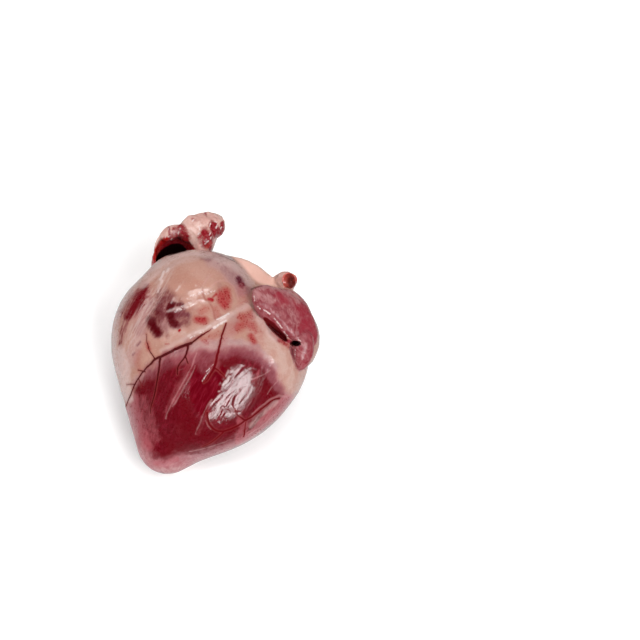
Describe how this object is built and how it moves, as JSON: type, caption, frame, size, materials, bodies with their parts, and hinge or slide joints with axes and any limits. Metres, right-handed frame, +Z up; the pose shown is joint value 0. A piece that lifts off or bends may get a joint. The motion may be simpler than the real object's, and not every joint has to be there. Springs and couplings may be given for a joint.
{
  "type": "raw pork heart",
  "caption": "Raw pork heart lying on its back surface: wet dark red muscle, pale fat, branching surface veins, a folded auricle and cut vessels.",
  "frame": {"origin": "on the surface that the heart lies on, below the middle of its box", "axes": "+Y from the apex towards the base and the cut vessels, +X towards the auricle's side, +Z up out of the shown face"},
  "size_m": [0.0992, 0.1276, 0.0633],
  "materials": {
    "flesh": "wet raw flesh: dark red muscle, cream and tan fat, milky membrane"
  },
  "bodies": {
    "root": {"heart": "flesh"}
  },
  "joints": []
}
